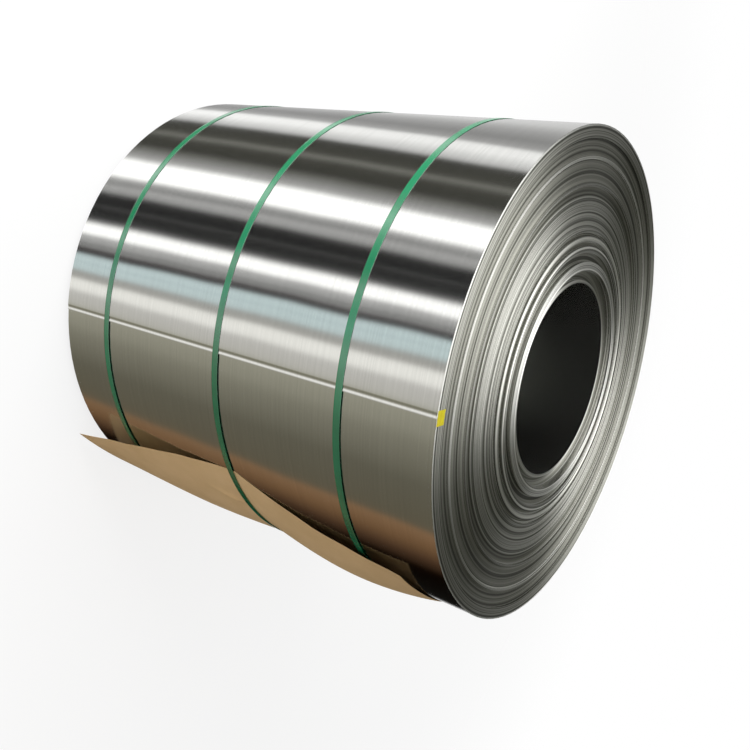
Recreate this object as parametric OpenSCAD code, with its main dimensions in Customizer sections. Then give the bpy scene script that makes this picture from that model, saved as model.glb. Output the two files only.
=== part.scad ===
// A coil of bright cold-rolled stainless strip, standing on its end.
// Three plastic straps hold it, and the middle one holds a sheet of kraft
// paper against its side.  A yellow tape patch marks the strip's tail.
// Lengths are in millimetres.  The coil's axis is Z, its front is -Y, and the
// origin is on the axis, at the level that the coil stands on.

/* [Strip] */
// Width of the strip, the coil's height along its axis
strip_width = 1219; // [600:1:1600]
// Thickness of the strip, which is the step at its tail
strip_thickness = 2; // [1:0.1:4]

/* [Coil] */
// Diameter of the bore, which a mandrel goes through
bore_diameter = 508; // [400:1:760]
// Turns of strip between the bore and the last turn's tail
turn_count = 192; // [100:1:240]
// How far the proudest inner turns stand out of the upper end
telescope = 10; // [2:0.5:16]
// How far the bundles of turns wander from one another along the axis
turn_wander = 0.7; // [0.2:0.1:1]
// How far each bundle of turns slopes back from its inner edge
bundle_slope = 1.6; // [0.4:0.1:2.4]
// Angle of the tail, from the front towards the left
tail_angle = 4.9; // [-10:0.1:12]

/* [Straps] */
// Width of a strap
strap_width = 19; // [12:0.5:32]
// Thickness of a strap
strap_thickness = 1; // [0.6:0.1:1.4]
// Distances of the outer straps from the strip's lower and upper edges
strap_lower_distance = 180; // [80:1:240]
strap_upper_distance = 241; // [150:1:280]
// Height of the middle strap, from the middle of the strip
strap_middle_height = -10; // [-60:1:60]

/* [Paper] */
// Thickness of the kraft paper
paper_thickness = 0.4; // [0.3:0.05:0.45]
// Distances of the paper's side edges from the strip's lower and upper edges
paper_lower_distance = 6; // [2:1:60]
paper_upper_distance = 116; // [60:1:130]
// Angle of the paper's free edge under the middle strap, right of the front
paper_edge_angle = 24.7; // [20:0.1:34]
// How much further round that edge comes at the lower and the upper side
paper_lower_drop = 2.9; // [0:0.1:8]
paper_upper_drop = 11.7; // [0:0.1:16]
// How far that edge stands away at the lower and the upper side
paper_lower_lift = 55; // [10:1:80]
paper_upper_lift = 13; // [5:1:40]
// Angle right of the front at which the paper starts to leave the coil
paper_leave_angle = 56; // [45:1:65]
// Angle past the right side at which the paper ends, behind
paper_back_angle = 22; // [10:1:24]

/* [Tape] */
// Size of the tape patch, along the radius and across it
tape_radial = 27; // [15:1:29]
tape_across = 33; // [15:1:45]
// Thickness of the tape
tape_thickness = 0.3; // [0.2:0.05:0.6]

/* [Hidden] */
$fn = 180;

seat_gap = 0.2;
tape_gap = 0.1;
rim_inset = 1.5;

bore_r = bore_diameter / 2;
wall = turn_count * strip_thickness;
coil_r = bore_r + wall;
half_width = strip_width / 2;

// The last turn rises from the turn under it up to the tail.  It is a half
// circle struck from a centre a little towards the tail, so that it meets the
// turn under it smoothly at the back.
tail_offset = strip_thickness / 2;
tail_r = coil_r + tail_offset;
blank_r = tail_r + strip_thickness;

// Bands of turns on the upper end, from the bore outwards: where the band
// ends as a share of the wall, the bundles of turns it shows, and how far it
// stands out as a share of the telescope.  The second band, which the coil
// stands on, and the last one are flat.
band_shares = [
    [0.023, 1, -0.5],
    [0.083, 1, -1.5],
    [0.146, 3, 1.0],
    [0.204, 3, -0.3],
    [0.248, 2, 0.7],
    [0.270, 1, -0.3],
    [0.310, 2, 0.4],
    [0.332, 1, -0.3],
    [0.354, 1, 0.3],
    [0.562, 10, -0.4],
    [0.625, 3, -0.7],
    [0.645, 1, 0.1],
    [0.792, 7, -0.4],
    [0.812, 1, 0.0],
    [0.917, 5, -0.4],
    [1.000, 1, 0.5]
];
last_band = len(band_shares) - 1;
foot_band = 1;
wander_step = 137.5;

function band_flat(k) = k == foot_band || k == last_band;
function band_start(k) = k == 0 ? 0 : band_shares[k - 1][0];
function bundle_edge(k, j) = k == last_band && j > 0 ? blank_r : bore_r + wall
    * (band_start(k) + (band_shares[k][0] - band_start(k)) * j / band_shares[k][1]);
function bundle_shift(k, j) = telescope * band_shares[k][2]
    + (band_flat(k) ? 0 : turn_wander * sin((k * band_shares[k][1] + j) * wander_step));
function bundle_lean(k) = band_flat(k) ? 0 : bundle_slope / 2;

bundles = [for (k = [0 : last_band]) for (j = [0 : band_shares[k][1] - 1])
    [bundle_edge(k, j), bundle_edge(k, j + 1), bundle_shift(k, j), bundle_lean(k)]];
bundle_last = len(bundles) - 1;
middle_z = half_width - telescope * band_shares[foot_band][2];
flat_end_z = middle_z + half_width + telescope * band_shares[last_band][2];

strap_in_r = tail_r + seat_gap;
strap_out_r = strap_in_r + strap_thickness;
strap_lower_z = middle_z - half_width + strap_lower_distance;
strap_middle_z = middle_z + strap_middle_height;
strap_upper_z = middle_z + half_width - strap_upper_distance;

// The strip's upper end, then its lower end: each turn keeps the strip's width.
coil_section = concat(
    [for (b = bundles) each [
        [b[0], middle_z + half_width + b[2] + b[3]],
        [b[1], middle_z + half_width + b[2] - b[3]]]],
    [for (i = [bundle_last : -1 : 0]) let (b = bundles[i]) each [
        [b[1], middle_z - half_width + b[2] - b[3]],
        [b[0], middle_z - half_width + b[2] + b[3]]]]);

module half_disc(r, side_x) {
    intersection() {
        children();
        translate([side_x, -2 * r]) square([2 * r, 4 * r]);
    }
}

// The wound strip seen from its end, with the step at its tail.
module winding_outline() {
    half_disc(coil_r, 0) circle(r = coil_r);
    half_disc(tail_r, -2 * tail_r) translate([0, -tail_offset]) circle(r = tail_r);
}

module coil() {
    color("silver") intersection() {
        rotate_extrude() polygon(coil_section);
        rotate([0, 0, -tail_angle])
            linear_extrude(height = 2 * strip_width) winding_outline();
    }
}

module strap(height) {
    color("mediumseagreen")
        translate([-tail_offset * sin(tail_angle), -tail_offset * cos(tail_angle), height])
            rotate_extrude()
                translate([strap_in_r, -strap_width / 2]) square([strap_thickness, strap_width]);
}

module strap_lower() { strap(strap_lower_z); }
module strap_middle() { strap(strap_middle_z); }
module strap_upper() { strap(strap_upper_z); }

// The paper is one sheet, in columns along the axis and rows around it.  It
// lies on the coil under the middle strap, rides over the other two straps,
// and stands away from the coil towards its free edge.
lower_columns = 8;
upper_columns = 7;
paper_rows = 42;
paper_low_z = middle_z - half_width + paper_lower_distance;
paper_high_z = middle_z + half_width - paper_upper_distance;
hold_low_z = strap_middle_z - strap_width;
hold_high_z = strap_middle_z + strap_width;
rise_length = min(strap_middle_z - strap_lower_z, strap_upper_z - strap_middle_z) - 3 * strap_width;
edge_bend = 1.2;
lift_bend = 1.7;

paper_columns = concat(
    [for (i = [0 : lower_columns])
        paper_low_z + (hold_low_z - paper_low_z) * i / lower_columns],
    [for (i = [0 : upper_columns])
        hold_high_z + (paper_high_z - hold_high_z) * i / upper_columns]);
column_last = len(paper_columns) - 1;
row_points = paper_rows + 1;
side_points = len(paper_columns) * row_points;

function ease(u) = let (v = min(max(u, 0), 1)) v * v * (3 - 2 * v);
function side_share(z) = z < strap_middle_z
    ? max(0, hold_low_z - z) / (hold_low_z - paper_low_z)
    : max(0, z - hold_high_z) / (paper_high_z - hold_high_z);
function paper_rise(z) = ease((abs(z - strap_middle_z) - strap_width) / rise_length);
function edge_angle(z) = -paper_edge_angle
    - (z < strap_middle_z ? paper_lower_drop : paper_upper_drop)
    * sin(90 * pow(side_share(z), edge_bend));
function edge_lift(z) = (z < strap_middle_z ? paper_lower_lift : paper_upper_lift)
    * pow(side_share(z), lift_bend);
function row_angle(z, j) = -90 - paper_back_angle
    + (edge_angle(z) + 90 + paper_back_angle) * j / paper_rows;
function lift_share(z, a) = max(0, (a + paper_leave_angle) / (edge_angle(z) + paper_leave_angle));
function bed_r(z, a) = let (u = paper_rise(z))
    (1 - u) * coil_r + u * (strap_out_r + tail_offset * cos(a - tail_angle)) + seat_gap;
function paper_point(z, a, out) = let (
        r = bed_r(z, a) + edge_lift(z) * pow(lift_share(z, a), 2) + out)
    [-r * sin(a), -r * cos(a), z];
function paper_id(side, i, j) = side * side_points + i * row_points + j;

paper_points = [for (out = [0, paper_thickness]) for (z = paper_columns)
    for (j = [0 : paper_rows]) paper_point(z, row_angle(z, j), out)];
paper_faces = concat(
    [for (i = [0 : column_last - 1]) for (j = [0 : paper_rows - 1]) each [
        [paper_id(1, i, j), paper_id(1, i + 1, j), paper_id(1, i + 1, j + 1)],
        [paper_id(1, i, j), paper_id(1, i + 1, j + 1), paper_id(1, i, j + 1)],
        [paper_id(0, i, j), paper_id(0, i + 1, j + 1), paper_id(0, i + 1, j)],
        [paper_id(0, i, j), paper_id(0, i, j + 1), paper_id(0, i + 1, j + 1)]]],
    [for (i = [0 : column_last - 1]) each [
        [paper_id(0, i, 0), paper_id(0, i + 1, 0), paper_id(1, i + 1, 0)],
        [paper_id(0, i, 0), paper_id(1, i + 1, 0), paper_id(1, i, 0)],
        [paper_id(0, i, paper_rows), paper_id(1, i + 1, paper_rows), paper_id(0, i + 1, paper_rows)],
        [paper_id(0, i, paper_rows), paper_id(1, i, paper_rows), paper_id(1, i + 1, paper_rows)]]],
    [for (j = [0 : paper_rows - 1]) each [
        [paper_id(0, 0, j), paper_id(1, 0, j), paper_id(1, 0, j + 1)],
        [paper_id(0, 0, j), paper_id(1, 0, j + 1), paper_id(0, 0, j + 1)],
        [paper_id(0, column_last, j), paper_id(1, column_last, j + 1), paper_id(1, column_last, j)],
        [paper_id(0, column_last, j), paper_id(0, column_last, j + 1), paper_id(1, column_last, j + 1)]]]);

module kraft_paper() {
    color("tan") polyhedron(points = paper_points, faces = paper_faces);
}

module marker_tape() {
    color("yellow")
        rotate([0, 0, -tail_angle])
            translate([-tape_across / 2, -coil_r + rim_inset, flat_end_z + tape_gap])
                cube([tape_across, tape_radial, tape_thickness]);
}

coil();
strap_lower();
strap_middle();
strap_upper();
kraft_paper();
marker_tape();
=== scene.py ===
import math

import bpy
import numpy as np
from mathutils import Matrix, Vector


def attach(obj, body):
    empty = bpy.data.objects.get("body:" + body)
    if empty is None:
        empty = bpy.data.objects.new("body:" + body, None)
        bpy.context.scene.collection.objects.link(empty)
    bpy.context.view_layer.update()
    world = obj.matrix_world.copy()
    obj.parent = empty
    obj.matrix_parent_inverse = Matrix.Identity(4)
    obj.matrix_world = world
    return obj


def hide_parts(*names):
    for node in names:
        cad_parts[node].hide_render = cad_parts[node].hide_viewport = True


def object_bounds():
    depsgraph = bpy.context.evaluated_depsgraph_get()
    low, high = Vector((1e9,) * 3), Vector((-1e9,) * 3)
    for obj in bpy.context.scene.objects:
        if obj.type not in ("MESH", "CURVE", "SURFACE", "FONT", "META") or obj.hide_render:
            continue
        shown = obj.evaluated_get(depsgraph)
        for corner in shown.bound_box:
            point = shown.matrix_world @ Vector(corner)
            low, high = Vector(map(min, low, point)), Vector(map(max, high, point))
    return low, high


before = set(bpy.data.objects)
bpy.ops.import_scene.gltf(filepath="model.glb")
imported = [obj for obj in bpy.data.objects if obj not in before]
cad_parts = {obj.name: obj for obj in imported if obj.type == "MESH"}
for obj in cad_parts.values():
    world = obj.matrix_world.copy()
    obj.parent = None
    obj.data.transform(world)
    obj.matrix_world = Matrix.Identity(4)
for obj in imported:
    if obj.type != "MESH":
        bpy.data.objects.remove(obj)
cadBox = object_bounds()
scene = bpy.context.scene
print("frame loaded:", sorted(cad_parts))

mm = 0.001


def hexLinear(code):
    out = []
    for k in (0, 2, 4):
        c = int(code.lstrip("#")[k:k + 2], 16) / 255
        out.append(c / 12.92 if c <= 0.04045 else ((c + 0.055) / 1.055) ** 2.4)
    return (*out, 1.0)


def addNode(tree, kind, links=(), **settings):
    # sockets are given by name or number: inputs takes values, links takes (socket, output)
    node = tree.nodes.new(kind)
    values = settings.pop("inputs", {})
    for key, value in settings.items():
        setattr(node, key, value)

    def socket(key):
        if isinstance(key, int):
            return node.inputs[key]
        return next(s for s in node.inputs if s.name == key and s.enabled)

    for key, value in values.items():
        socket(key).default_value = value
    for key, source in links:
        tree.links.new(source, socket(key))
    return node


def newMaterial(name):
    mat = bpy.data.materials.new(name)
    mat.use_nodes = True
    mat.node_tree.nodes.clear()
    out = addNode(mat.node_tree, "ShaderNodeOutputMaterial")
    return mat, mat.node_tree, out


def rampStops(node, stops):
    ramp = node.color_ramp
    while len(ramp.elements) > 1:
        ramp.elements.remove(ramp.elements[0])
    ramp.elements[0].position = stops[0][0]
    ramp.elements[0].color = stops[0][1]
    for place, colour in stops[1:]:
        ramp.elements.new(place).color = colour


def newPiece(name, verts, faces):
    mesh = bpy.data.meshes.new(name)
    mesh.from_pydata([tuple(v) for v in verts], [], faces)
    mesh.validate()
    mesh.update()
    obj = bpy.data.objects.new(name, mesh)
    scene.collection.objects.link(obj)
    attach(obj, "root")
    return obj


def smoothBelow(obj, degrees):
    mesh = obj.data
    mesh.shade_smooth()
    mesh.set_sharp_from_angle(angle=math.radians(degrees))


# coil: one strip wound from the bore outwards, so each turn runs into the next
coilSet = dict(
    boreR=254 * mm, turnThick=2 * mm, turns=192, width=1219 * mm,
    tailDeg=4.9, segments=112, tailSteps=12, tailStep=0.12, dip=0.8 * mm,
    telescope=10 * mm, wander=0.7 * mm, bundleSlope=1.6 * mm, wanderStep=137.5,
    edgeScatter=0.32 * mm, proudest=11.45 * mm, seed=7,
    # end of each band as a share of the wall, bundles in it, how far it stands out
    bands=[
        (0.023, 1, -0.5), (0.083, 1, -1.5), (0.146, 3, 1.0), (0.204, 3, -0.3),
        (0.248, 2, 0.7), (0.270, 1, -0.3), (0.310, 2, 0.4), (0.332, 1, -0.3),
        (0.354, 1, 0.3), (0.562, 10, -0.4), (0.625, 3, -0.7), (0.645, 1, 0.1),
        (0.792, 7, -0.4), (0.812, 1, 0.0), (0.917, 5, -0.4), (1.000, 1, 0.5),
    ],
    # painted highlight and shade on each band of slit edges: proud bands painted bright, set-back bands painted dark,
    # and a painted highlight on the last turn's edge
    paintedBandLight=["#D8D8D4", "#BCBCB6", "#F6F6F4", "#A2A29B", "#EDEDEA", "#98988F", "#E8E8E4", "#98988F",
            "#E8E8E4", "#C2C2BD", "#8E8E86", "#F0F0ED", "#A4A49D", "#F0F0ED", "#A4A49D", "#A8A8A2", "#F4F4F2"],
)
coilR = coilSet["boreR"] + coilSet["turns"] * coilSet["turnThick"]
tailOffset = coilSet["turnThick"] / 2
middleZ = coilSet["width"] / 2 - coilSet["telescope"] * coilSet["bands"][1][2]


def roundAxis(angle, radius, along):
    # angle from the front towards the left, along from the strip's middle
    return -radius * math.sin(angle), -radius * math.cos(angle), middleZ + along


def turnShifts():
    s = coilSet
    rng = np.random.default_rng(s["seed"])
    scatter = rng.uniform(-1, 1, s["turns"]) * s["edgeScatter"]
    shifts = []
    for i in range(s["turns"]):
        u = (i + 0.5) / s["turns"]
        k = next(n for n, b in enumerate(s["bands"]) if u <= b[0])
        start = s["bands"][k - 1][0] if k else 0
        end, count, share = s["bands"][k]
        place = (u - start) / (end - start) * count
        j = min(int(place), count - 1)
        shift = s["telescope"] * share
        if k == len(s["bands"]) - 1:
            shift -= abs(scatter[i]) * 0.5
        elif k == 1:  # the turns that the coil stands on
            shift += abs(scatter[i]) * 0.5
        else:
            shift += s["wander"] * math.sin(math.radians((k * count + j) * s["wanderStep"]))
            shift += s["bundleSlope"] * (0.5 - (place - j)) + scatter[i]
        shifts.append(min(shift, s["proudest"]))
    return shifts


def buildCoil():
    s = coilSet
    turns, thick = s["turns"], s["turnThick"]
    shifts = turnShifts()
    verts, index = [], {}
    # columns round the coil as shares of a turn, close together just above the tail
    shares = [n * s["tailStep"] / 360 for n in range(s["tailSteps"])]
    shares += [n / s["segments"] for n in range(1, s["segments"])]
    segs = len(shares)

    def put(key, angle, radius, along):
        index[key] = len(verts)
        verts.append(roundAxis(angle, radius, along))

    for j, share in enumerate(shares):
        angle = math.radians(s["tailDeg"]) + 2 * math.pi * share
        rise = thick / 2 * (1 + math.cos(2 * math.pi * share)) if share < 0.5 else 0
        # the tail springs: it dips a little and lifts again at its edge
        spring = min(share * 360 / (s["tailStep"] * (s["tailSteps"] - 1)), 1)
        dip = s["dip"] * 0.5 * (1 - math.cos(2 * math.pi * spring))
        for i in range(turns):
            shift = shifts[i] * (1 - share) + shifts[max(i - 1, 0)] * share
            for edge in (0, 1):
                radius = s["boreR"] + (i + edge) * thick + rise
                if i == turns - 1 and edge == 1:
                    radius -= dip
                for end in (0, 1):
                    put((i, edge, j, end), angle, radius, (end - 0.5) * s["width"] + shift)
    for end in (0, 1):  # the strip's inner end, one thickness inside the turn that covers it
        put(("inner", end), math.radians(s["tailDeg"]), s["boreR"], (end - 0.5) * s["width"] + shifts[0])

    def at(i, edge, j, end):
        if j < segs:
            return index[(i, edge, j, end)]
        if i > 0:
            return index[(i - 1, edge, 0, end)]
        return index[("inner", end)] if edge == 0 else index[(0, 0, 0, end)]

    faces, slots = [], []

    def face(corners, slot):
        unique = [c for n, c in enumerate(corners) if c != corners[n - 1]]
        if len(unique) > 2:
            faces.append(unique)
            slots.append(slot)

    for j in range(segs):
        for end in (0, 1):
            flip = end == 0
            for i in range(turns):
                ring = [at(i, 0, j, end), at(i, 1, j, end), at(i, 1, j + 1, end), at(i, 0, j + 1, end)]
                face(ring[::-1] if flip else ring, 1)
                if i + 1 < turns:
                    wall = [at(i, 1, j, end), at(i + 1, 0, j, end), at(i + 1, 0, j + 1, end), at(i, 1, j + 1, end)]
                    face(wall[::-1] if flip else wall, 0)
        top = turns - 1
        face([at(top, 1, j, 1), at(top, 1, j, 0), at(top, 1, j + 1, 0), at(top, 1, j + 1, 1)], 0)
        face([at(0, 0, j, 0), at(0, 0, j, 1), at(0, 0, j + 1, 1), at(0, 0, j + 1, 0)], 0)
    top = turns - 1
    face([at(top - 1, 1, 0, 0), at(top, 0, 0, 0), at(top, 1, 0, 0),
          at(top, 1, 0, 1), at(top, 0, 0, 1), at(top - 1, 1, 0, 1)], 1)
    face([index[("inner", 0)], index[("inner", 1)], at(0, 0, 0, 1), at(0, 0, 0, 0)], 1)

    obj = newPiece("wound_strip", verts, faces)
    obj.data.polygons.foreach_set("material_index", slots[:len(obj.data.polygons)])
    smoothBelow(obj, 30)
    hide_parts("coil")
    return obj


woundStrip = buildCoil()
print("coil wound:", len(woundStrip.data.polygons), "faces")


# straps: flat plastic bands with rounded edges, drawn round the tail's own circle
strapSet = dict(width=19 * mm, thick=1.0 * mm, seat=0.2 * mm, segments=256, edge=0.22 * mm,
                places=dict(lower=-429.5 * mm, middle=-10 * mm, upper=368.5 * mm))
strapInR = coilR + tailOffset + strapSet["seat"]
tail = math.radians(coilSet["tailDeg"])
strapCentre = roundAxis(tail, tailOffset, -middleZ)


def buildStrap(side):
    s = strapSet
    half, e, t = s["width"] / 2, s["edge"], s["thick"]
    section = [(-half + e, 0), (half - e, 0), (half - e * 0.3, e * 0.3), (half, e), (half, t - e),
               (half - e * 0.3, t - e * 0.3), (half - e, t), (half * 0.5, t), (0, t), (-half * 0.5, t),
               (-half + e, t), (-half + e * 0.3, t - e * 0.3), (-half, t - e), (-half, e), (-half + e * 0.3, e * 0.3)]
    verts, faces, n = [], [], len(section)
    for j in range(s["segments"]):
        a = 2 * math.pi * j / s["segments"]
        for x, out in section:
            r = strapInR + out
            place = roundAxis(a, r, s["places"][side] + x)
            verts.append([p + c for p, c in zip(place, strapCentre)])
    for j in range(s["segments"]):
        k = (j + 1) % s["segments"]
        for i in range(n):
            m = (i + 1) % n
            faces.append([j * n + i, k * n + i, k * n + m, j * n + m])
    obj = newPiece("plastic_strap_" + side, verts, faces)
    smoothBelow(obj, 50)
    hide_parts("strap_" + side)
    return obj


straps = [buildStrap(side) for side in strapSet["places"]]
print("straps drawn:", len(straps))


# paper: one sheet against the coil's side, held by the middle strap and loose towards its front edge
paperSet = dict(
    thick=0.4 * mm, seat=0.2 * mm, lower=603.5 * mm, upper=493.5 * mm,
    edgeDeg=24.7, lowerDrop=2.9, upperDrop=11.7, lowerBend=1.2, upperBend=0.88,
    lowerLift=55 * mm, upperLift=13 * mm, liftBend=1.7,
    leaveDeg=56, backDeg=22, columns=110, rows=170, ripple=1.6 * mm,
    # the sheet sags away from the coil between the straps, most at bellyDeg
    bellyDeg=60, bellySpan=30, lowerBelly=10 * mm, upperBelly=28 * mm,
    creaseDeg=37.5, creaseWide=0.9, creaseReach=130 * mm, creaseRise=8 * mm, creaseTurn=2.5,
)
strapOutR = strapInR + strapSet["thick"]


def ease(u):
    v = min(max(u, 0), 1)
    return v * v * (3 - 2 * v)


def paperPoint(x, v):
    s = paperSet
    mid, w = strapSet["places"]["middle"], strapSet["width"]
    isLower = x < mid
    span = (s["lower"] + mid - w) if isLower else (s["upper"] - mid - w)
    share = max(0, abs(x - mid) - w) / span
    bend = s["lowerBend"] if isLower else s["upperBend"]
    edge = -s["edgeDeg"] - (s["lowerDrop"] if isLower else s["upperDrop"]) * math.sin(math.pi / 2 * share ** bend)
    lift = (s["lowerLift"] if isLower else s["upperLift"]) * share ** s["liftBend"]
    reach = min(mid - strapSet["places"]["lower"], strapSet["places"]["upper"] - mid) - 3 * w
    rise = ease((abs(x - mid) - w) / reach)
    a = -90 - s["backDeg"] + (edge + 90 + s["backDeg"]) * v
    away = max(0, (a + s["leaveDeg"]) / (edge + s["leaveDeg"]))
    onStrap = strapOutR + tailOffset * math.cos(math.radians(a - coilSet["tailDeg"]))
    r = (1 - rise) * coilR + rise * onStrap + s["seat"] + lift * away ** 2
    # slight waves where the sheet is free, none under the middle strap
    wave = math.sin(x * 21 + 3.1 * away) * 0.6 + math.sin(x * 47 - 5 * away + 1.0) * 0.4
    r += s["ripple"] * (1 + wave) * min(share * 3, 1) * away ** 1.5
    sag = math.cos(math.pi / 2 * min(abs(a + s["bellyDeg"]) / s["bellySpan"], 1)) ** 2
    r += (s["lowerBelly"] if isLower else s["upperBelly"]) * sag * math.sin(math.pi * share) ** 0.8
    # one crease runs from the strap towards the lower side
    run = (mid - w - x) / s["creaseReach"]
    if 0 < run < 1:
        off = (a + s["creaseDeg"] - s["creaseTurn"] * run) / s["creaseWide"]
        r += s["creaseRise"] * math.sin(math.pi * run ** 0.6) * math.exp(-off * off) * (1 if off < 0 else 0.6)
    return roundAxis(math.radians(a), r, x)


def buildPaper():
    s = paperSet
    cols = [-s["lower"] + (s["lower"] + s["upper"]) * i / s["columns"] for i in range(s["columns"] + 1)]
    rows = [j / s["rows"] for j in range(s["rows"] + 1)]
    inner = np.array([[paperPoint(x, v) for v in rows] for x in cols])
    du = np.gradient(inner, axis=0)
    dv = np.gradient(inner, axis=1)
    normal = np.cross(du, dv)
    normal /= np.linalg.norm(normal, axis=2, keepdims=True)
    outward = inner * (1, 1, 0)
    normal *= np.sign((normal * outward).sum(axis=2, keepdims=True))
    outer = inner + normal * s["thick"]
    nc, nr = len(cols), len(rows)
    verts = np.concatenate([inner.reshape(-1, 3), outer.reshape(-1, 3)])

    def at(side, i, j):
        return side * nc * nr + i * nr + j

    faces = []
    for i in range(nc - 1):
        for j in range(nr - 1):
            faces.append([at(1, i, j), at(1, i, j + 1), at(1, i + 1, j + 1), at(1, i + 1, j)])
            faces.append([at(0, i, j), at(0, i + 1, j), at(0, i + 1, j + 1), at(0, i, j + 1)])
        faces.append([at(0, i, 0), at(1, i, 0), at(1, i + 1, 0), at(0, i + 1, 0)])
        faces.append([at(0, i, nr - 1), at(0, i + 1, nr - 1), at(1, i + 1, nr - 1), at(1, i, nr - 1)])
    for j in range(nr - 1):
        faces.append([at(0, 0, j), at(0, 0, j + 1), at(1, 0, j + 1), at(1, 0, j)])
        faces.append([at(0, nc - 1, j), at(1, nc - 1, j), at(1, nc - 1, j + 1), at(0, nc - 1, j + 1)])
    obj = newPiece("paper_sheet", verts, faces)
    smoothBelow(obj, 40)
    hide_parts("kraft_paper")
    return obj


paperSheet = buildPaper()
print("paper laid:", len(paperSheet.data.polygons), "faces")


# tape: a hand-torn patch pressed over the edges of the outer turns
tapeSet = dict(radial=27 * mm, across=33 * mm, thick=0.3 * mm, gap=0.1 * mm, inset=1.5 * mm, cells=16)
flatEnd = coilSet["width"] / 2 + coilSet["telescope"] * coilSet["bands"][-1][2]


def buildTape():
    s = tapeSet
    n = s["cells"]
    verts, faces = [], []
    for side in (0, 1):
        for i in range(n + 1):
            for j in range(n + 1):
                u, v = i / n, j / n
                # torn ends waver, and the patch dips between the turns
                tear = 0.7 * mm * math.sin(v * 17 + 2 * u) * (abs(u - 0.5) * 2) ** 6
                radius = coilR - s["inset"] - u * s["radial"] + tear
                across = (v - 0.5) * s["across"]
                dip = 0.04 * mm * math.sin(u * 80) - 0.03 * mm
                along = flatEnd + s["gap"] + side * s["thick"] + (dip if side else 0)
                verts.append(roundAxis(tail + math.atan2(across, radius), math.hypot(radius, across), along))

    def at(side, i, j):
        return side * (n + 1) ** 2 + i * (n + 1) + j

    for i in range(n):
        for j in range(n):
            faces.append([at(1, i, j), at(1, i + 1, j), at(1, i + 1, j + 1), at(1, i, j + 1)])
            faces.append([at(0, i, j), at(0, i, j + 1), at(0, i + 1, j + 1), at(0, i + 1, j)])
    for k in range(n):
        faces.append([at(0, k, 0), at(0, k + 1, 0), at(1, k + 1, 0), at(1, k, 0)])
        faces.append([at(0, k, n), at(1, k, n), at(1, k + 1, n), at(0, k + 1, n)])
        faces.append([at(0, 0, k), at(1, 0, k), at(1, 0, k + 1), at(0, 0, k + 1)])
        faces.append([at(0, n, k), at(0, n, k + 1), at(1, n, k + 1), at(1, n, k)])
    obj = newPiece("tape_patch", verts, faces)
    smoothBelow(obj, 40)
    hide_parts("marker_tape")
    return obj


tapePatch = buildTape()
print("tape pressed on")


# cold-rolled stainless, bright finish: fine rolling lines run round the coil, so
# it mirrors sharply round the coil and smears along its axis
def rolledStainless():
    mat, tree, out = newMaterial("cold_rolled_stainless")
    coord = addNode(tree, "ShaderNodeTexCoord")
    # rolling lines 4 mm apart along the axis, a metre long round the coil; real ones are finer
    lines = addNode(tree, "ShaderNodeMapping", [("Vector", coord.outputs["Object"])],
                    inputs={"Scale": (1.2, 1.2, 260)})
    noise = addNode(tree, "ShaderNodeTexNoise", [("Vector", lines.outputs[0])],
                    inputs={"Scale": 1.0, "Detail": 4.0, "Roughness": 0.6})
    tone = addNode(tree, "ShaderNodeValToRGB", [("Fac", noise.outputs["Fac"])])
    rampStops(tone, [(0.3, hexLinear("#CBCBC8")), (0.7, hexLinear("#D3D3D0"))])
    # the strip lies in shallow waves about 300 mm long
    swell = addNode(tree, "ShaderNodeTexNoise", [("Vector", coord.outputs["Object"])],
                    inputs={"Scale": 3.3, "Detail": 1.0})
    waves = addNode(tree, "ShaderNodeBump", [("Height", swell.outputs["Fac"])],
                    inputs={"Strength": 1.0, "Distance": 0.0012})
    bump = addNode(tree, "ShaderNodeBump", [("Height", noise.outputs["Fac"]), ("Normal", waves.outputs["Normal"])],
                   inputs={"Strength": 0.012, "Distance": 0.0004})
    tangent = addNode(tree, "ShaderNodeTangent", direction_type="RADIAL", axis="Z")
    shader = addNode(tree, "ShaderNodeBsdfPrincipled",
                     [("Base Color", tone.outputs["Color"]), ("Normal", bump.outputs["Normal"]),
                      ("Tangent", tangent.outputs["Tangent"])],
                     inputs={"Metallic": 1.0, "Roughness": 0.13, "Anisotropic": 0.6,
                             "Anisotropic Rotation": 0.25})
    tree.links.new(shader.outputs[0], out.inputs[0])
    return mat


def paintedBandStops():
    # the outermost two turns get a painted highlight of their own
    ends = [b[0] for b in coilSet["bands"][:-1]] + [1 - 2 / coilSet["turns"], 1.0]
    stops, start = [], 0
    for end, code in zip(ends, coilSet["paintedBandLight"]):
        stops += [(start + 0.001, hexLinear(code)), (end - 0.001, hexLinear(code))]
        start = end
    return stops[1:-1]


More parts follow.
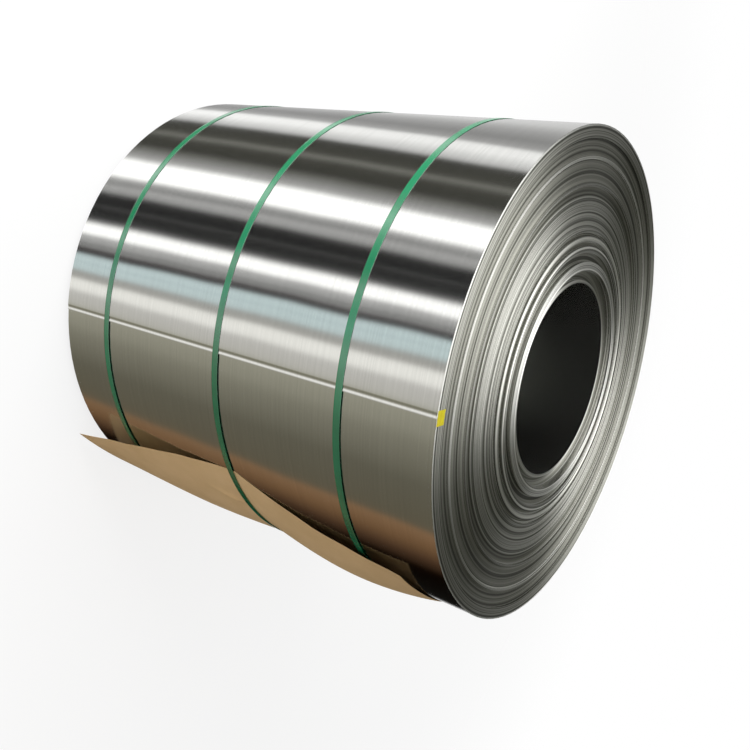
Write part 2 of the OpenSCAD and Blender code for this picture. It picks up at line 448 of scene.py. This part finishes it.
# slit edges of the strip: sheared and slightly rounded, so each turn spreads the
# light along the radius and the end reads as fine rings
def slitEdgeStainless():
    mat, tree, out = newMaterial("slit_edge_stainless")
    coord = addNode(tree, "ShaderNodeTexCoord")
    split = addNode(tree, "ShaderNodeSeparateXYZ", [("Vector", coord.outputs["Object"])])
    xx = addNode(tree, "ShaderNodeMath", [(0, split.outputs["X"]), (1, split.outputs["X"])], operation="MULTIPLY")
    yy = addNode(tree, "ShaderNodeMath", [(0, split.outputs["Y"]), (1, split.outputs["Y"]), (2, xx.outputs[0])],
                 operation="MULTIPLY_ADD")
    radius = addNode(tree, "ShaderNodeMath", [(0, yy.outputs[0])], operation="SQRT")
    # rings about 10 mm apart, five turns of strip, with finer ones between
    ring = addNode(tree, "ShaderNodeTexNoise", [("W", radius.outputs[0])], noise_dimensions="1D",
                   inputs={"Scale": 105.0, "Detail": 3.0, "Roughness": 0.75})
    fine = addNode(tree, "ShaderNodeValToRGB", [("Fac", ring.outputs["Fac"])])
    rampStops(fine, [(0.4, hexLinear("#84847F")), (0.58, hexLinear("#F8F8F6"))])
    # painted light and shade: turns that stand proud are painted bright, those set back are painted dark
    share = addNode(tree, "ShaderNodeMapRange", [("Value", radius.outputs[0])],
                    inputs={"From Min": coilSet["boreR"], "From Max": coilR})
    paintedBands = addNode(tree, "ShaderNodeValToRGB", [("Fac", share.outputs[0])])
    rampStops(paintedBands, paintedBandStops())
    tone = addNode(tree, "ShaderNodeMix", [("A", paintedBands.outputs["Color"]), ("B", fine.outputs["Color"])],
                   data_type="RGBA", blend_type="MULTIPLY", inputs={"Factor": 1.0})
    tangent = addNode(tree, "ShaderNodeTangent", direction_type="RADIAL", axis="Z")
    shader = addNode(tree, "ShaderNodeBsdfPrincipled",
                     [("Base Color", next(s for s in tone.outputs if s.enabled)),
                      ("Tangent", tangent.outputs["Tangent"])],
                     inputs={"Metallic": 1.0, "Roughness": 0.58, "Anisotropic": 0.9,
                             "Anisotropic Rotation": 0.25})
    tree.links.new(shader.outputs[0], out.inputs[0])
    return mat


# PET strapping: extruded and embossed, glossy green with a fine diamond grain
def strapPet():
    mat, tree, out = newMaterial("embossed_pet_strap")
    coord = addNode(tree, "ShaderNodeTexCoord")
    noise = addNode(tree, "ShaderNodeTexNoise", [("Vector", coord.outputs["Object"])],
                    inputs={"Scale": 9.0, "Detail": 3.0})
    tone = addNode(tree, "ShaderNodeValToRGB", [("Fac", noise.outputs["Fac"])])
    rampStops(tone, [(0.35, hexLinear("#0F6440")), (0.65, hexLinear("#16724C"))])
    cells = addNode(tree, "ShaderNodeTexVoronoi", [("Vector", coord.outputs["Object"])],
                    inputs={"Scale": 420.0})
    bump = addNode(tree, "ShaderNodeBump", [("Height", cells.outputs["Distance"])],
                   inputs={"Strength": 0.25, "Distance": 0.0004})
    shader = addNode(tree, "ShaderNodeBsdfPrincipled",
                     [("Base Color", tone.outputs["Color"]), ("Normal", bump.outputs["Normal"])],
                     inputs={"Roughness": 0.2, "IOR": 1.57, "Specular IOR Level": 1.0,
                             "Coat Weight": 0.3, "Coat Roughness": 0.14})
    tree.links.new(shader.outputs[0], out.inputs[0])
    return mat


# kraft paper: unbleached pulp, matte, with long fibres and faint clouds
def kraftPaper():
    mat, tree, out = newMaterial("unbleached_kraft_paper")
    coord = addNode(tree, "ShaderNodeTexCoord")
    clouds = addNode(tree, "ShaderNodeTexNoise", [("Vector", coord.outputs["Object"])],
                     inputs={"Scale": 14.0, "Detail": 5.0})
    tone = addNode(tree, "ShaderNodeValToRGB", [("Fac", clouds.outputs["Fac"])])
    rampStops(tone, [(0.3, hexLinear("#D0AC78")), (0.7, hexLinear("#D9B582"))])
    fibre = addNode(tree, "ShaderNodeTexNoise", [("Vector", coord.outputs["Object"])],
                    inputs={"Scale": 380.0, "Detail": 4.0})
    bump = addNode(tree, "ShaderNodeBump", [("Height", fibre.outputs["Fac"])],
                   inputs={"Strength": 0.2, "Distance": 0.0005})
    shader = addNode(tree, "ShaderNodeBsdfPrincipled",
                     [("Base Color", tone.outputs["Color"]), ("Normal", bump.outputs["Normal"])],
                     inputs={"Roughness": 0.62})
    tree.links.new(shader.outputs[0], out.inputs[0])
    return mat


# yellow vinyl tape: calendered film with a soft sheen
def vinylTape():
    mat, tree, out = newMaterial("yellow_vinyl_tape")
    coord = addNode(tree, "ShaderNodeTexCoord")
    clouds = addNode(tree, "ShaderNodeTexNoise", [("Vector", coord.outputs["Object"])],
                     inputs={"Scale": 120.0, "Detail": 3.0})
    tone = addNode(tree, "ShaderNodeValToRGB", [("Fac", clouds.outputs["Fac"])])
    rampStops(tone, [(0.3, hexLinear("#DCCB0A")), (0.7, hexLinear("#EADB22"))])
    shader = addNode(tree, "ShaderNodeBsdfPrincipled", [("Base Color", tone.outputs["Color"])],
                     inputs={"Roughness": 0.4})
    tree.links.new(shader.outputs[0], out.inputs[0])
    return mat


woundStrip.data.materials.append(rolledStainless())
woundStrip.data.materials.append(slitEdgeStainless())
petMaterial = strapPet()
for strap in straps:
    strap.data.materials.append(petMaterial)
paperSheet.data.materials.append(kraftPaper())
tapePatch.data.materials.append(vinylTape())
print("materials set")


# camera at the photo's place, in coil radii from the coil's middle; the photo shows
# the coil on its side and the part stands on its end, so the camera is rolled
cameraSet = dict(unit=639 * mm, place=(-0.912, -3.009, 2.142), lens=38.6, sensor=36,
                 right=(-0.06740, 0.59247, 0.80276), up=(-0.95529, 0.19382, -0.22326),
                 back=(-0.28787, -0.78192, 0.55292))
camData = bpy.data.cameras.new("photo_camera")
camData.lens = cameraSet["lens"]
camData.sensor_width = cameraSet["sensor"]
camera = bpy.data.objects.new("photo_camera", camData)
scene.collection.objects.link(camera)
turn = Matrix((cameraSet["right"], cameraSet["up"], cameraSet["back"])).transposed().to_4x4()
place = Vector(cameraSet["place"]) * cameraSet["unit"] + Vector((0, 0, middleZ))
camera.matrix_world = Matrix.Translation(place) @ turn
scene.camera = camera


# stage: a white floor that fades out, and a hall of long lights for the steel to mirror
stageSet = dict(floorHalf=30.0, fadeStart=2.5, fadeEnd=6.0, floorTone="#FDFDFC", floorLift=0.8,
                boreGlow="#8A8E8B", boreGlowLevel=1.2, boreReach=1.3,
                skyLevel=0.58, skySlant=0.45, keyPower=330, keyPlace=(-4.2, -0.5, 1.6), keySize=(4.0, 3.0),
                # overhead softbox that the end mirrors: where it is, and the angles at which it fades
                boxAim=(-0.45, -0.12, 0.885), boxInner=14, boxOuter=66, boxLevel=4.0, endDim="#5C5E54",
                # heights of a ray between which the hall gives way to the softbox
                hallTop=0.12, boxStart=0.35,
                # lights past splayFrom degrees spread with a ray's height; matteDim is the share of
                # mirrored light kept from the matte pieces
                splay=0.7, splayFrom=20, splayLevel=0.66, matteDim=0.85)
floorZ = cadBox[0][2]
half = stageSet["floorHalf"]
floorMesh = bpy.data.meshes.new("floor")
floorMesh.from_pydata([(-half, -half, floorZ), (half, -half, floorZ), (half, half, floorZ), (-half, half, floorZ)],
                      [], [[0, 1, 2, 3]])
floor = bpy.data.objects.new("floor", floorMesh)
scene.collection.objects.link(floor)


def floorMaterial():
    mat, tree, out = newMaterial("studio_floor")
    path = addNode(tree, "ShaderNodeLightPath")
    coord = addNode(tree, "ShaderNodeTexCoord")
    reach = addNode(tree, "ShaderNodeVectorMath", [(0, coord.outputs["Object"])], operation="LENGTH")
    fade = addNode(tree, "ShaderNodeMapRange", [("Value", reach.outputs["Value"])], interpolation_type="SMOOTHSTEP",
                   inputs={"From Min": stageSet["fadeStart"], "From Max": stageSet["fadeEnd"]})
    # mirrored rays pass the floor into the hall, apart from the floor under the bore, which glows for mirrored rays
    # alone: a painted reflection of light coming up the bore
    outside = addNode(tree, "ShaderNodeMath", [(0, reach.outputs["Value"])], operation="GREATER_THAN",
                      inputs={1: coilSet["boreR"] * stageSet["boreReach"]})
    mirrored = addNode(tree, "ShaderNodeMath", [(0, path.outputs["Is Glossy Ray"]), (1, outside.outputs[0])],
                       operation="MULTIPLY")
    clear = addNode(tree, "ShaderNodeMath", [(0, fade.outputs[0]), (1, mirrored.outputs[0])], operation="MAXIMUM")
    white = addNode(tree, "ShaderNodeBsdfDiffuse", inputs={"Color": hexLinear(stageSet["floorTone"])})
    glow = addNode(tree, "ShaderNodeEmission", inputs={"Color": (1, 1, 1, 1), "Strength": 1.0})
    lift = addNode(tree, "ShaderNodeMath", [(0, path.outputs["Is Camera Ray"])], operation="MULTIPLY",
                   inputs={1: stageSet["floorLift"]})
    pale = addNode(tree, "ShaderNodeMixShader", [(0, lift.outputs[0]), (1, white.outputs[0]), (2, glow.outputs[0])])
    # this glow is no lamp: a painted reflection seen only in the bore's steel
    bore = addNode(tree, "ShaderNodeEmission",
                   inputs={"Color": hexLinear(stageSet["boreGlow"]), "Strength": stageSet["boreGlowLevel"]})
    seen = addNode(tree, "ShaderNodeMixShader",
                   [(0, path.outputs["Is Glossy Ray"]), (1, pale.outputs[0]), (2, bore.outputs[0])])
    through = addNode(tree, "ShaderNodeBsdfTransparent")
    shader = addNode(tree, "ShaderNodeMixShader",
                     [(0, clear.outputs[0]), (1, seen.outputs[0]), (2, through.outputs[0])])
    tree.links.new(shader.outputs[0], out.inputs[0])
    return mat


floorMesh.materials.append(floorMaterial())

# what the steel's side mirrors, by the angle about the coil's axis: 0 is the front, 90 the left;
# each is an angle, a brightness and a tint
hallLights = [
    (-180, 0.75, "#FFFFFF"), (-140, 0.9, "#FFFFFF"), (-132, 0.01, "#E0DED0"),
    (-98, 0.005, "#C08050"), (-89, 0.1, "#F0B488"), (-80, 0.25, "#F0B884"), (-71, 0.36, "#F2BE8E"),
    (-68, 0.15, "#FFF2CE"),
    (-45, 0.165, "#FFF8DA"), (-26, 0.29, "#FFFBE2"), (-13, 0.47, "#FFFCE6"), (-9, 0.72, "#FAF8F0"),
    (0, 0.78, "#F8F6F2"), (1.5, 1.25, "#FFFEFA"), (7, 1.25, "#FFFEFA"), (8.5, 0.52, "#F6F4EE"), (12, 0.52, "#F6F4EE"),
    (13.5, 0.95, "#E2F5F8"), (17.2, 1.05, "#E2F5F8"), (17.8, 0.8, "#DCEFF4"), (18.4, 1.05, "#E2F5F8"),
    (22, 1.05, "#E2F5F8"), (22.7, 0.05, "#C06060"), (26, 0.04, "#C08080"), (26.6, 0.5, "#FFFFFF"),
    (28.2, 0.22, "#FFFFFF"), (29.4, 0.55, "#FFFFFF"), (32.6, 0.5, "#FFFFFF"),
    (34, 1.8, "#FFFFFF"), (39, 1.8, "#FFFFFF"),
    (41, 0.16, "#FFFFFF"), (43, 0.02, "#FFFFFF"),
]
leftLights = [
    (43, 0.02, "#FFFFFF"), (49, 0.03, "#FFFFFF"), (50, 0.12, "#FFFFFF"), (51, 0.02, "#FFFFFF"), (57.5, 0.02, "#FFFFFF"),
    (59.5, 0.45, "#FFFFFF"), (63, 0.62, "#FFFFFF"), (65, 0.3, "#FFFFFF"), (68.5, 0.45, "#FFFFFF"), (71, 1.9, "#FFFFFF"),
    (81, 1.9, "#FFFFFF"), (84, 0.55, "#FFFFFF"), (92, 0.2, "#F6F6EC"), (95, 0.07, "#F0F0E0"), (103, 0.09, "#F0F0E0"),
    (107, 0.3, "#F6F6EC"), (110, 0.1, "#F0F0E0"), (121, 0.06, "#F0F0E0"), (124, 0.75, "#FFFFFF"), (134, 1.3, "#FFFFFF"),
    (140, 1.3, "#FFFFFF"), (143, 0.5, "#FFFFFF"), (152, 0.35, "#FFFFFF"), (165, 0.5, "#FFFFFF"), (180, 0.75, "#FFFFFF"),
]
lightMax = 2.0


def lightRamp(tree, angle, lights):
    first, last = lights[0][0], lights[-1][0]
    share = addNode(tree, "ShaderNodeMapRange", [("Value", angle)],
                    inputs={"From Min": math.radians(first), "From Max": math.radians(last)})
    ramp = addNode(tree, "ShaderNodeValToRGB", [("Fac", share.outputs[0])])
    rampStops(ramp, [((deg - first) / (last - first), [c * level / lightMax for c in hexLinear(tint)[:3]] + [1])
                     for deg, level, tint in lights])
    return ramp.outputs["Color"]


def buildWorld():
    s = stageSet
    world = bpy.data.worlds.new("studio")
    scene.world = world
    world.use_nodes = True
    world.cycles.sampling_method = "NONE"
    tree = world.node_tree
    tree.nodes.clear()
    out = addNode(tree, "ShaderNodeOutputWorld")
    coord = addNode(tree, "ShaderNodeTexCoord")
    away = coord.outputs["Generated"]
    split = addNode(tree, "ShaderNodeSeparateXYZ", [("Vector", away)])
    left = addNode(tree, "ShaderNodeMath", [(0, split.outputs["X"])], operation="MULTIPLY", inputs={1: -1.0})
    front = addNode(tree, "ShaderNodeMath", [(0, split.outputs["Y"])], operation="MULTIPLY", inputs={1: -1.0})
    about = addNode(tree, "ShaderNodeMath", [(0, left.outputs[0]), (1, front.outputs[0])], operation="ARCTAN2")
    # the lights on the left splay: further apart low down than high up
    splay = addNode(tree, "ShaderNodeMath", [(0, split.outputs["Z"])], operation="MULTIPLY_ADD",
                    inputs={1: s["splay"], 2: 1 + s["splay"] * s["splayLevel"]})
    bound = math.radians(s["splayFrom"])
    past = addNode(tree, "ShaderNodeMath", [(0, about.outputs[0])], operation="SUBTRACT", inputs={1: bound})
    beyond = addNode(tree, "ShaderNodeMath", [(0, past.outputs[0])], operation="MAXIMUM", inputs={1: 0.0})
    before = addNode(tree, "ShaderNodeMath", [(0, about.outputs[0])], operation="MINIMUM", inputs={1: bound})
    angle = addNode(tree, "ShaderNodeMath", [(0, beyond.outputs[0]), (1, splay.outputs[0]), (2, before.outputs[0])],
                    operation="MULTIPLY_ADD")
    isLeft = addNode(tree, "ShaderNodeMath", [(0, angle.outputs[0])], operation="GREATER_THAN",
                     inputs={1: math.radians(leftLights[0][0])})
    hallFront = addNode(tree, "ShaderNodeBackground", [("Color", lightRamp(tree, angle.outputs[0], hallLights))],
                        inputs={"Strength": lightMax})
    hallLeft = addNode(tree, "ShaderNodeBackground", [("Color", lightRamp(tree, angle.outputs[0], leftLights))],
                       inputs={"Strength": lightMax})
    hall = addNode(tree, "ShaderNodeMixShader",
                   [(0, isLeft.outputs[0]), (1, hallFront.outputs[0]), (2, hallLeft.outputs[0])])

    aim = Vector(s["boxAim"]).normalized()
    towards = addNode(tree, "ShaderNodeVectorMath", [(0, away)], operation="DOT_PRODUCT", inputs={1: aim})
    box = addNode(tree, "ShaderNodeMapRange", [("Value", towards.outputs["Value"])], interpolation_type="SMOOTHSTEP",
                  inputs={"From Min": math.cos(math.radians(s["boxOuter"])),
                          "From Max": math.cos(math.radians(s["boxInner"]))})
    dim = addNode(tree, "ShaderNodeBackground", inputs={"Color": hexLinear(s["endDim"])})
    bright = addNode(tree, "ShaderNodeBackground", inputs={"Color": (1, 1, 1, 1), "Strength": s["boxLevel"]})
    above = addNode(tree, "ShaderNodeMixShader", [(0, box.outputs[0]), (1, dim.outputs[0]), (2, bright.outputs[0])])
    rise = addNode(tree, "ShaderNodeMapRange", [("Value", split.outputs["Z"])], interpolation_type="SMOOTHSTEP",
                   inputs={"From Min": s["hallTop"], "From Max": s["boxStart"]})
    mirrored = addNode(tree, "ShaderNodeMixShader", [(0, rise.outputs[0]), (1, hall.outputs[0]), (2, above.outputs[0])])

    path = addNode(tree, "ShaderNodeLightPath")
    # light that comes to the matte pieces by way of the steel is dim, so the steel throws no glints on them
    matte = addNode(tree, "ShaderNodeMath", [(0, path.outputs["Diffuse Depth"])], operation="MINIMUM",
                    inputs={1: s["matteDim"]})
    gloom = addNode(tree, "ShaderNodeBackground", inputs={"Color": (0, 0, 0, 1)})
    mirrored = addNode(tree, "ShaderNodeMixShader",
                       [(0, matte.outputs[0]), (1, mirrored.outputs[0]), (2, gloom.outputs[0])])
    # soft daylight, brighter from the left
    slant = addNode(tree, "ShaderNodeMath", [(0, split.outputs["X"])], operation="MULTIPLY_ADD",
                    inputs={1: -s["skySlant"], 2: s["skyLevel"]})
    sky = addNode(tree, "ShaderNodeBackground", [("Strength", slant.outputs[0])], inputs={"Color": (1, 1, 1, 1)})
    pale = addNode(tree, "ShaderNodeBackground", inputs={"Color": (1, 1, 1, 1), "Strength": 1.0})
    lit = addNode(tree, "ShaderNodeMixShader",
                  [(0, path.outputs["Is Glossy Ray"]), (1, sky.outputs[0]), (2, mirrored.outputs[0])])
    seen = addNode(tree, "ShaderNodeMixShader",
                   [(0, path.outputs["Is Camera Ray"]), (1, lit.outputs[0]), (2, pale.outputs[0])])
    tree.links.new(seen.outputs[0], out.inputs[0])


buildWorld()

keyData = bpy.data.lights.new("soft_key", "AREA")
keyData.shape = "RECTANGLE"
keyData.size, keyData.size_y = stageSet["keySize"]
keyData.energy = stageSet["keyPower"]
key = bpy.data.objects.new("soft_key", keyData)
scene.collection.objects.link(key)
key.location = stageSet["keyPlace"]
key.rotation_euler = (Vector((0, 0, middleZ)) - key.location).to_track_quat("-Z", "Y").to_euler()
key.visible_glossy = False
key.visible_camera = False

scene.view_settings.view_transform = "Standard"
print("stage set")
